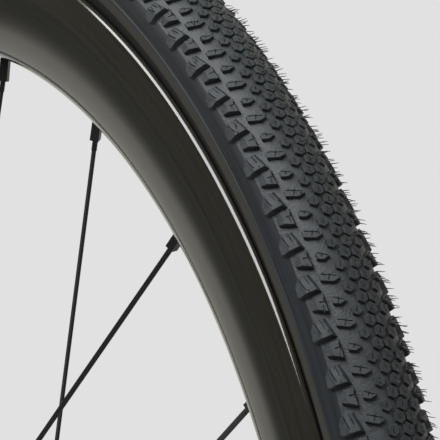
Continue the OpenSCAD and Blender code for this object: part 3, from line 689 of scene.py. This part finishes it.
def hair_places():
    """Points on the knobs, where the mould's vents leave a hair, with the way that each points."""
    random = np.random.default_rng(7)
    crown = [(d, 0.0) for d in CENTRE_PLACES * 2]
    for sign in (-1, 1):
        crown += [(d, -sign * INNER_ANGLE) for d in INNER_PLACES * 2]
        crown += [(d, -sign * OUTER_ANGLE) for d in CENTRE_PLACES]
    rows = [(d, g, CROWN_SHARE) for d, g in crown]
    rows += [(d, g, LEFT_SHARE) for d, g in HAIR_PLACES] + [(d, -g, RIGHT_SHARE) for d, g in HAIR_PLACES]
    points, ways = [], []
    for pitch in range(PITCHES):
        for down, angle, share in rows:
            if random.random() > share:
                continue
            d = down + pitch * PITCH_MM + random.uniform(-SCATTER_MM, SCATTER_MM)
            g = angle + random.uniform(-SCATTER_ANGLE, SCATTER_ANGLE)
            root = Vector(on_tyre(d, g, HAIR_ROOT_H))
            tip = Vector(on_tyre(d + COMBED, g, HAIR_ROOT_H + 1))
            points.append(root * MM)
            ways.append((tip - root).normalized())
    mesh = bpy.data.meshes.new("vent_places")
    mesh.from_pydata(points, [], [])
    attribute = mesh.attributes.new("out", "FLOAT_VECTOR", "POINT")
    attribute.data.foreach_set("vector", np.array(ways, np.float32).ravel())
    return mesh


def turned_nipples(name, start, material):
    """Nipples of one side, each turned about its own axis as tightening has left it."""
    shape = bmesh.new()
    shape.from_mesh(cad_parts[name].data)
    groups = [[] for _ in range(NIPPLES_PER_SIDE)]
    for vert in shape.verts:
        turn = math.degrees(math.atan2(vert.co.z, vert.co.x)) - start
        groups[round(turn * NIPPLES_PER_SIDE / 360) % NIPPLES_PER_SIDE].append(vert)
    for place, verts in enumerate(groups):
        verts.sort(key=lambda v: math.hypot(v.co.x, v.co.z))
        # A fifth of the points at each end gives the nipple's axis
        share = len(verts) // 5
        inner = sum((v.co for v in verts[:share]), Vector()) / share
        outer = sum((v.co for v in verts[-share:]), Vector()) / share
        angle = math.radians(FIRST_TWIST + place * NEXT_TWIST)
        twist = Matrix.Rotation(angle, 3, (outer - inner).normalized())
        bmesh.ops.rotate(shape, verts=verts, cent=inner, matrix=twist)
    mesh = bpy.data.meshes.new("turned_" + name)
    shape.to_mesh(mesh)
    shape.free()
    mesh.set_sharp_from_angle(angle=math.radians(30))
    mesh.materials.append(material)
    return new_object("turned_" + name, mesh)


def studio_floor():
    """Pale floor that keeps the wheel's shadow, runs out into the ground and sends little light back up."""
    bpy.ops.mesh.primitive_circle_add(vertices=96, radius=FLOOR_R, fill_type="NGON", location=(0, 0, cad_low.z))
    floor = bpy.context.object
    floor.name = "studio_floor"
    material, tree, shader = start_material("pale studio floor", Roughness=0.9)
    rays = add(tree, "ShaderNodeLightPath").outputs
    tint = add(tree, "ShaderNodeMix", {"Factor": rays["Is Diffuse Ray"], "A": colour("#dedede"),
        "B": colour("#5a5a5a")}, data_type="RGBA")
    tree.links.new(tint.outputs["Result"], shader.inputs["Base Color"])
    seen = add(tree, "ShaderNodeMath", {0: rays["Is Camera Ray"], 1: rays["Is Glossy Ray"]},
        operation="MAXIMUM")
    seen = add(tree, "ShaderNodeMath", {0: seen.outputs[0], 1: rays["Is Transmission Ray"]},
        operation="MAXIMUM")
    place = add(tree, "ShaderNodeTexCoord").outputs["Object"]
    spread = add(tree, "ShaderNodeVectorMath", {0: place}, operation="LENGTH")
    fade = add(tree, "ShaderNodeMapRange", {"Value": spread.outputs["Value"], "From Min": FLOOR_FADE[0],
        "From Max": FLOOR_FADE[1], "To Min": 0.5, "To Max": 1.0})
    fade = add(tree, "ShaderNodeMath", {0: fade.outputs[0], 1: seen.outputs[0]}, operation="MULTIPLY")
    pale = add(tree, "ShaderNodeEmission", {"Color": colour(GROUND), "Strength": 1.0})
    blend = add(tree, "ShaderNodeMixShader", {0: fade.outputs[0], 1: shader.outputs[0], 2: pale.outputs[0]})
    tree.links.new(blend.outputs[0], tree.nodes["Material Output"].inputs["Surface"])
    floor.data.materials.append(material)
    return floor


def studio_world():
    """Faint even light, and the pale ground for the camera and in reflections, dim on the camera's side."""
    world = bpy.data.worlds.new("studio")
    world.use_nodes = True
    tree = world.node_tree
    tree.nodes.clear()
    rays = add(tree, "ShaderNodeLightPath").outputs
    mirrored = add(tree, "ShaderNodeMath", {0: rays["Is Glossy Ray"], 1: rays["Is Transmission Ray"]},
        operation="MAXIMUM")
    way = add(tree, "ShaderNodeSeparateXYZ", {0: add(tree, "ShaderNodeNewGeometry").outputs["Position"]})
    behind = add(tree, "ShaderNodeMapRange", {"Value": way.outputs["Y"], "From Min": DIM_SIDE[0],
        "From Max": DIM_SIDE[1], "To Min": 0.05, "To Max": 1.0})
    mirrored = add(tree, "ShaderNodeMath", {0: mirrored.outputs[0], 1: behind.outputs[0]}, operation="MULTIPLY")
    seen = add(tree, "ShaderNodeMath", {0: rays["Is Camera Ray"], 1: mirrored.outputs[0]}, operation="MAXIMUM")
    soft = add(tree, "ShaderNodeBackground", {"Color": colour("#f0f2f4"), "Strength": 0.06})
    tone = add(tree, "ShaderNodeMix", {"Factor": rays["Is Camera Ray"], "A": colour("#e6e3d7"),
        "B": colour(GROUND)}, data_type="RGBA")
    ground = add(tree, "ShaderNodeBackground", {"Color": tone.outputs["Result"], "Strength": 1.0})
    blend = add(tree, "ShaderNodeMixShader", {0: seen.outputs[0], 1: soft.outputs[0], 2: ground.outputs[0]})
    add(tree, "ShaderNodeOutputWorld", {"Surface": blend.outputs[0]})
    return world


def softbox(name, place, target, width, height, power):
    """Soft rectangular lamp that points at a target."""
    light = bpy.data.lights.new(name, "AREA")
    light.shape = "RECTANGLE"
    light.size, light.size_y, light.energy = width, height, power
    lamp = new_object(name, light)
    lamp.location = place
    lamp.rotation_euler = (Vector(target) - Vector(place)).to_track_quat("-Z", "Y").to_euler()


def studio_camera():
    """Camera at the photograph's viewing angle."""
    azimuth, elevation, roll = (math.radians(a) for a in (AZIMUTH, ELEVATION, ROLL))
    back = Vector((math.sin(azimuth) * math.cos(elevation), -math.cos(azimuth) * math.cos(elevation),
        math.sin(elevation)))
    across = (-back).cross(Vector((0, 0, 1))).normalized()
    upward = across.cross(-back)
    right = across * math.cos(roll) + upward * math.sin(roll)
    upward = upward * math.cos(roll) - across * math.sin(roll)
    view = bpy.data.cameras.new("camera")
    view.sensor_width = SENSOR_MM
    view.lens = SENSOR_MM * FOCAL_PIXELS / PICTURE_PIXELS
    view.clip_start = 0.01
    camera = new_object("camera", view)
    turn = Matrix((right, upward, back)).transposed()
    camera.matrix_world = Matrix.Translation(CAMERA_PLACE) @ turn.to_4x4()
    return camera


# Finishes, and the nodes that wear them: the end caps wear the axle's
tread_finish = tread_rubber("vulcanised tread rubber", "#2d3236", "#454b50", 0.52, 0.68)
# The base wears a copy of the tread rubber that is smoother, from the polished mould, and paler: the paler
# colour is painted sheen
painted_sheen_base_finish = tread_rubber("vulcanised tread rubber, polished mould, painted sheen", "#34393d", "#4c5256", 0.44, 0.58)
finishes = {
    "tread_rubber": tread_finish,
    "sidewall_rubber": sidewall_rubber(),
    "chafer_fabric": chafer_fabric(),
    "rim_carbon": rim_carbon(),
    "belt_fabric": woven("aramid breaker cords", "#8a6d2c", "#c09a48", 0.6),
    "casing_fabric": woven("nylon casing cords", "#2f2c27", "#46423a", 0.5),
    "liner_rubber": grained("butyl liner rubber", "#19191a", "#232324", 0.8, 0.4, 0.55, 0.02),
    "bead_aramid": woven("bundled aramid bead cord", "#b08a36", "#d3ae5c", 0.4),
    "tape": grained("polyester rim tape", "#2a567c", "#34658e", 0.6, 0.25, 0.35, 0.01),
    "spoke_steel": grained("black oxide stainless steel", "#1d1d1d", "#262625", 0.4, 0.38, 0.5, 0.01,
        Metallic=0.55),
    "nipple_alloy": grained("black anodised nipple alloy", "#181818", "#202020", 0.3, 0.4, 0.5, 0.01,
        Metallic=0.5),
    "hub_alloy": turned("black anodised hub alloy", "#1c1c1d", "#272728", 0.34, 0.46, Metallic=0.6),
    "axle_alloy": turned("hard anodised axle alloy", "#3a3a3a", "#4a4a49", 0.34, 0.45, Metallic=0.85),
    "seal_rubber": grained("nitrile seal rubber", "#1b1b1c", "#242425", 0.5, 0.5, 0.65, 0.02),
    "bearing_steel": turned("ground bearing steel", "#a9abad", "#c2c4c6", 0.14, 0.24, Metallic=1.0),
    "cage_plastic": grained("nylon bearing cage", "#c8c2ae", "#d6d1c0", 0.6, 0.4, 0.55, 0.02),
    "valve_alloy": grained("black anodised valve alloy", "#1b1b1b", "#262626", 0.3, 0.32, 0.45, 0.01,
        Metallic=0.6),
    "valve_brass": grained("nickel plated brass", "#b5ae97", "#c8c1ab", 0.4, 0.2, 0.32, 0.01, Metallic=1.0),
    "cap_plastic": grained("moulded black plastic", "#1a1a1b", "#232324", 0.4, 0.38, 0.5, 0.02),
}
wearers = {
    "tread_rubber": ("tread", "shoulder_blocks"),
    "sidewall_rubber": ("sidewall",),
    "chafer_fabric": ("chafer",),
    "rim_carbon": ("rim",),
    "belt_fabric": ("breaker_belt",),
    "casing_fabric": ("casing",),
    "liner_rubber": ("inner_liner",),
    "bead_aramid": ("bead_core",),
    "tape": ("rim_tape",),
    "spoke_steel": ("spokes",),
    "nipple_alloy": ("nipples",),
    "hub_alloy": ("hub_shell",),
    "axle_alloy": ("axle_tube", "end_cap"),
    "seal_rubber": ("dust_seal", "bearing_seals", "valve_grommet"),
    "bearing_steel": ("bearing_outer_race", "bearing_inner_race", "bearing_balls"),
    "cage_plastic": ("bearing_cage",),
    "valve_alloy": ("valve_stem", "valve_lock_ring"),
    "valve_brass": ("valve_core", "valve_pin", "valve_pin_nut"),
    "cap_plastic": ("valve_cap",),
}
node_finish = {node: finishes[key] for key, nodes in wearers.items() for node in nodes}
for name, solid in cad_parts.items():
    solid.data.materials.clear()
    solid.data.materials.append(node_finish[name.removesuffix("_right").removesuffix("_left")])

# Tread: base, knobs, shoulder blocks and vent hairs
repeat = wheel_tree()
tread_base = ring("tread_base", tread_outline(), painted_sheen_base_finish)
right_pitch = shoulder_pitch()
left_pitch = join_meshes("left_pitch", [], mirrored=[right_pitch])
crown_knobs, right_blocks, left_blocks = (
    grow(new_object(name, pitch), repeat, Count=PITCHES, Finish=tread_finish)
    for name, pitch in (("crown_knobs", crown_pitch()), ("right_shoulder_blocks", right_pitch),
        ("left_shoulder_blocks", left_pitch)))
hair = new_object("vent_hair_pattern", hair_mesh())
vent_hairs = grow(new_object("vent_hairs", hair_places()), hair_tree(), Hair=hair, Shortest=SHORTEST_HAIR,
    Longest=LONGEST_HAIR, Tilt=HAIR_TILT, Finish=tread_finish)
bpy.data.objects.remove(hair)

# Each piece with its slot, and the node that it stands for
pieces = [
    (tread_base, "tread_rubber", "tread"),
    (crown_knobs, "tread_rubber", None),
    (right_blocks, "tread_rubber", "shoulder_blocks_right"),
    (left_blocks, "tread_rubber", "shoulder_blocks_left"),
    (vent_hairs, "tread_rubber", None),
]
for hand, side in (("right", -1), ("left", 1)):
    sidewall = ring("sidewall_outer_" + hand, sidewall_outline(side), finishes["sidewall_rubber"], sharp=50)
    pieces.append((sidewall, "sidewall_rubber", "sidewall_" + hand))
for hand, side in (("right", -1), ("left", 1)):
    chafer = ring("chafer_strip_" + hand, chafer_outline(side), finishes["chafer_fabric"], sharp=40)
    pieces.append((chafer, "chafer_fabric", "chafer_" + hand))
pieces.append((ring("carbon_rim", rim_outline(), finishes["rim_carbon"], sharp=40), "rim_carbon", "rim"))
for hand, start in (("right", RIGHT_START), ("left", LEFT_START)):
    nipples = turned_nipples("nipples_" + hand, start, finishes["nipple_alloy"])
    pieces.append((nipples, "nipple_alloy", "nipples_" + hand))
for piece, slot, node in pieces:
    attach(piece, "wheel")
    if node:
        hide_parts(node)

# Stage: a pale floor under the wheel, soft light from above, and the pale ground behind it
studio_floor()
bpy.context.scene.world = studio_world()
softbox("top_softbox", place=(-0.01, -1.32, 1.94), target=(0.25, 0, 0.2), width=2.2, height=1.0, power=55)
softbox("side_softbox", place=(0.4, -2.4, 0.4), target=(0.2, 0, 0.1), width=1.2, height=1.2, power=1)
bpy.context.scene.camera = studio_camera()
bpy.context.scene.view_settings.view_transform = "Standard"
